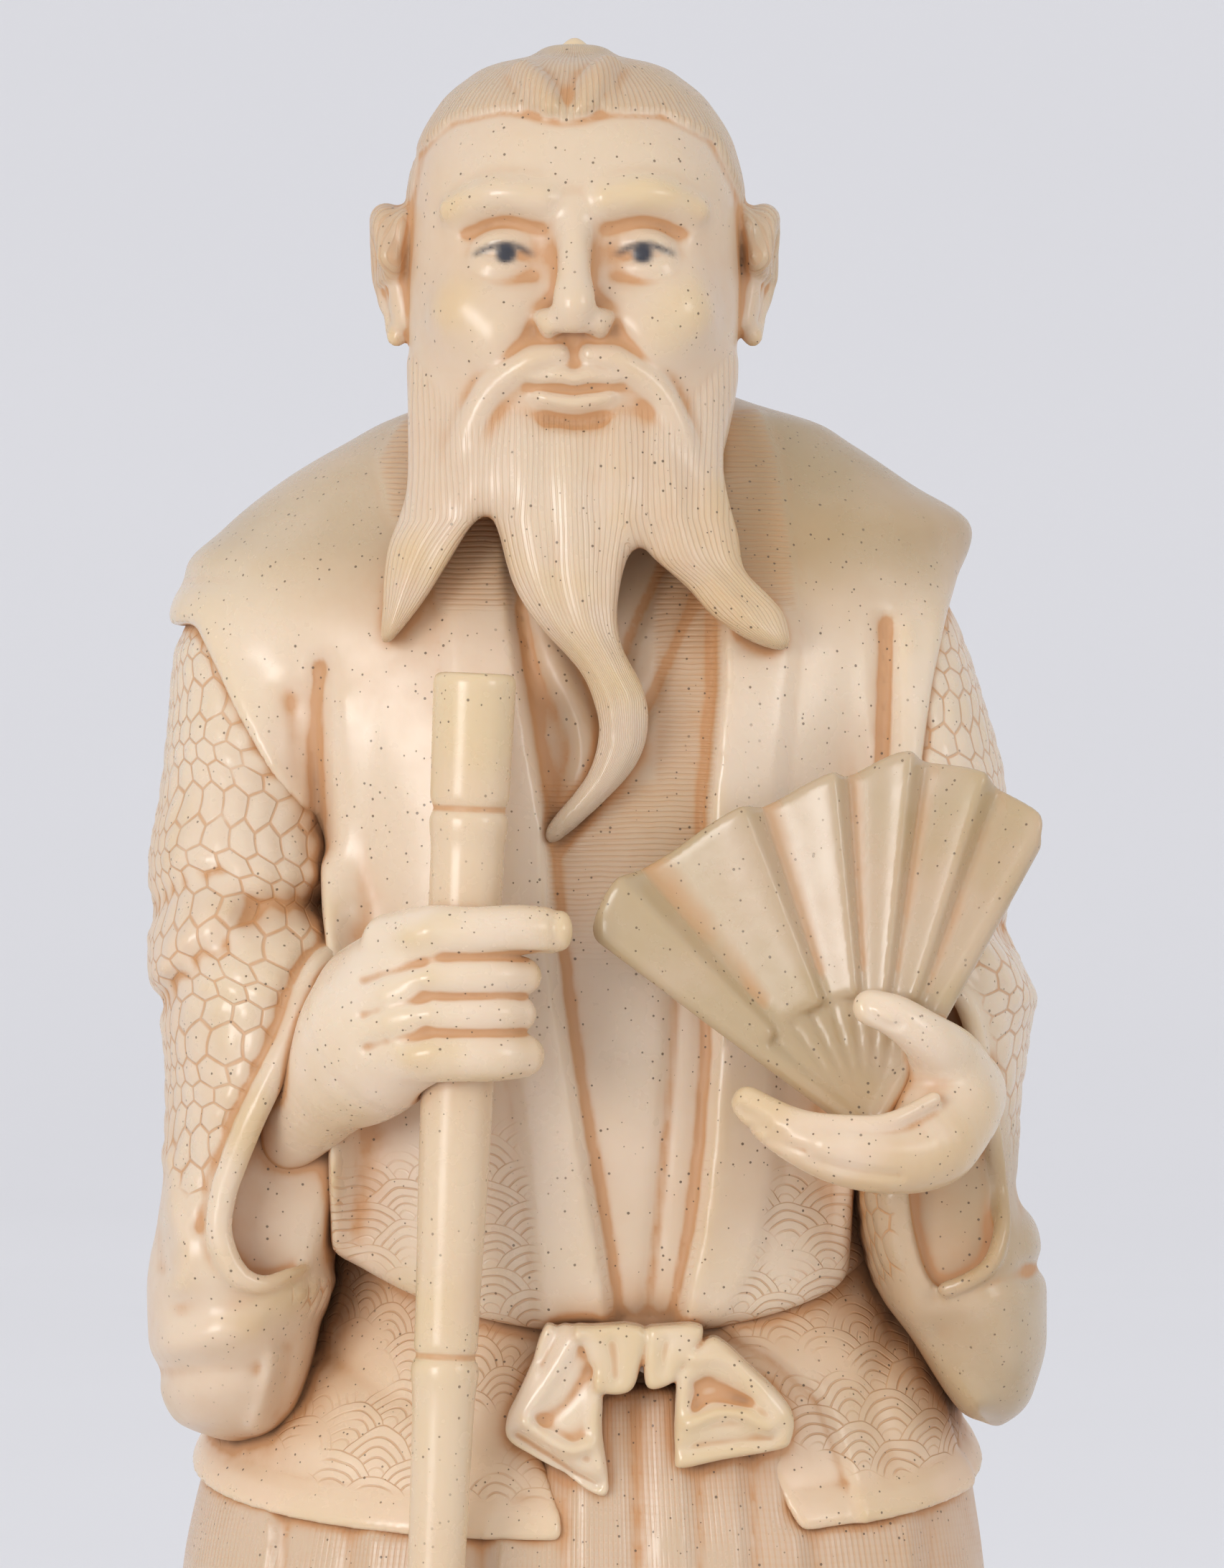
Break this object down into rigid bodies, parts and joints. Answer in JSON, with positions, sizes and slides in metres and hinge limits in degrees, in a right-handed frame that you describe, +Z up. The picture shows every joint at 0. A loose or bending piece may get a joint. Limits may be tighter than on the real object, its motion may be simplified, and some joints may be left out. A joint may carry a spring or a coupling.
{
  "type": "carved standing figure",
  "caption": "Carved ornament: a standing robed elder on an oval base, holding a bamboo staff and an open fan.",
  "frame": {"origin": "middle of the base's flat underside", "axes": "+Z up; the figure faces -Y, so its right hand with the staff is at -X and its fan at +X"},
  "size_m": [0.07, 0.0633, 0.1697],
  "materials": {
    "carved_bone": "polished, stained in the cuts",
    "aged_bone": "polished, yellowed",
    "peg_bone": "plain, hidden"
  },
  "bodies": {
    "figure": {"base_plinth": "carved_bone", "bow_peg": "peg_bone", "fan": "carved_bone", "head": "carved_bone", "jacket_skirt": "carved_bone", "left_foot": "carved_bone", "left_foot_peg": "peg_bone", "left_hand": "carved_bone", "left_sleeve": "carved_bone", "left_sleeve_peg": "peg_bone", "left_wrist_peg": "peg_bone", "neck_peg": "peg_bone", "right_foot": "carved_bone", "right_foot_peg": "peg_bone", "right_hand": "carved_bone", "right_sleeve": "carved_bone", "right_sleeve_peg": "peg_bone", "right_wrist_peg": "peg_bone", "sash_bow": "carved_bone", "spine_peg": "peg_bone", "topknot": "aged_bone", "torso": "carved_bone", "trousers": "carved_bone"},
    "staff": {"staff": "carved_bone"}
  },
  "joints": [
    {"name": "staff_draw", "type": "slide", "parent": "figure", "child": "staff", "axis": [0.0435, -0.0041, 0.999], "range_m": [0, 0.105]}
  ]
}
